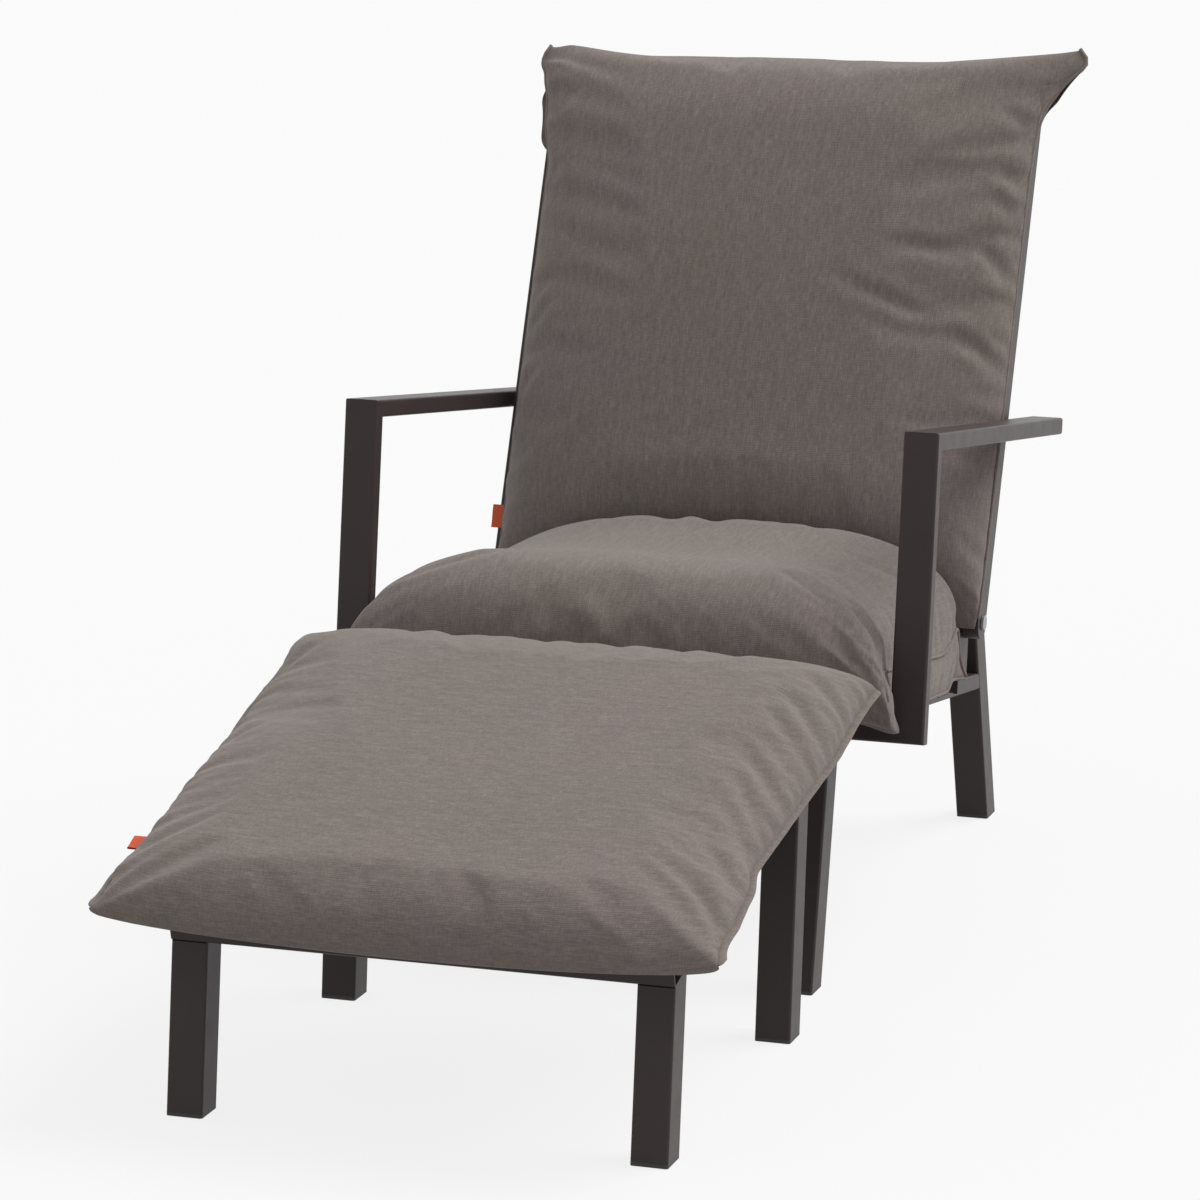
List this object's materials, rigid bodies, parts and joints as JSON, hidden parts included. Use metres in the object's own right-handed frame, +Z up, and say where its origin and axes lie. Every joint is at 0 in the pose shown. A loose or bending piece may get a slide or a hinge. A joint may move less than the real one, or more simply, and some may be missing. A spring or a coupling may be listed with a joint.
{
  "type": "reclining garden armchair with footstool",
  "caption": "Aluminium garden armchair with fixed armrests, a reclining padded back held by telescopic props, and a matching padded footstool.",
  "frame": {"origin": "middle of the footprint of chair and footstool, on the floor", "axes": "+Z up, +Y to the rear of the chair, +X to the right of someone who faces the chair"},
  "size_m": [0.7, 1.5112, 0.9653],
  "materials": {
    "frame_paint": "matt fine-textured powder coat, dark brown anthracite",
    "prop_tube_paint": "satin black powder coat",
    "prop_rod_steel": "zinc plated",
    "zinc_steel": "zinc plated",
    "black_plastic": "moulded, fine grain",
    "bush_plastic": "smooth nylon",
    "cushion_fabric": "heathered grey-taupe plain weave over soft filling"
  },
  "bodies": {
    "base": {"armrest_right": "frame_paint", "armrest_left": "frame_paint", "arm_post_right": "frame_paint", "arm_post_left": "frame_paint", "front_rail": "frame_paint", "armrest_end_caps": "black_plastic", "front_leg_right": "frame_paint", "front_leg_left": "frame_paint", "rear_leg_right": "frame_paint", "rear_leg_left": "frame_paint", "rear_leg_caps": "black_plastic", "chair_glides": "black_plastic", "side_rail_right": "frame_paint", "side_rail_left": "frame_paint", "rear_crossbar": "frame_paint", "hinge_crossbar": "frame_paint", "seat_slats": "frame_paint", "hinge_bracket_right": "frame_paint", "hinge_bracket_left": "frame_paint", "hinge_bolts": "zinc_steel", "prop_studs": "zinc_steel", "seat_cushion": "cushion_fabric"},
    "back": {"back_tube_right": "frame_paint", "back_tube_left": "frame_paint", "hinge_bushes": "bush_plastic", "back_top_tube": "frame_paint", "back_slats": "frame_paint", "prop_bar": "frame_paint", "prop_fork_right": "frame_paint", "prop_fork_left": "frame_paint", "fork_pins": "zinc_steel", "back_cushion": "cushion_fabric", "back_cushion_ears": "cushion_fabric", "back_hood": "cushion_fabric"},
    "prop_left": {"prop_outer_tube_left": "prop_tube_paint"},
    "prop_right": {"prop_outer_tube_right": "prop_tube_paint"},
    "rod_left": {"prop_rod_left": "prop_rod_steel"},
    "rod_right": {"prop_rod_right": "prop_rod_steel"},
    "footstool": {"stool_front_rail": "frame_paint", "stool_rear_rail": "frame_paint", "stool_side_rail_right": "frame_paint", "stool_side_rail_left": "frame_paint", "stool_front_leg_right": "frame_paint", "stool_front_leg_left": "frame_paint", "stool_rear_leg_right": "frame_paint", "stool_rear_leg_left": "frame_paint", "stool_glides": "black_plastic", "stool_slats": "frame_paint", "stool_cushion": "cushion_fabric"}
  },
  "joints": [
    {"name": "back_recline", "type": "hinge", "parent": "base", "child": "back", "pos_m": [0, 0.41556, 0.32228], "axis": [-1, 0, 0], "range_deg": [0, 30]},
    {"name": "prop_swing_left", "type": "hinge", "parent": "base", "child": "prop_left", "pos_m": [-0.191, 0.66564, 0.243], "axis": [-1, 0, 0], "range_deg": [-1, 4.45]},
    {"name": "prop_slide_left", "type": "slide", "parent": "prop_left", "child": "rod_left", "axis": [0, 0.5625, -0.8268], "range_m": [-0.001, 0.089]},
    {"name": "prop_swing_right", "type": "hinge", "parent": "base", "child": "prop_right", "pos_m": [0.191, 0.66564, 0.243], "axis": [-1, 0, 0], "range_deg": [-1, 4.45]},
    {"name": "prop_slide_right", "type": "slide", "parent": "prop_right", "child": "rod_right", "axis": [0, 0.5625, -0.8268], "range_m": [-0.001, 0.089]},
    {"name": "footstool_pull_away", "type": "slide", "parent": "base", "child": "footstool", "axis": [0, -1, 0], "range_m": [0, 0.6]}
  ],
  "couplings": [
    {"joint": "prop_swing_left", "follows": "back_recline", "ratio": 0.115},
    {"joint": "prop_slide_left", "follows": "back_recline", "m_per_rad": 0.168},
    {"joint": "prop_swing_right", "follows": "back_recline", "ratio": 0.115},
    {"joint": "prop_slide_right", "follows": "back_recline", "m_per_rad": 0.168}
  ]
}
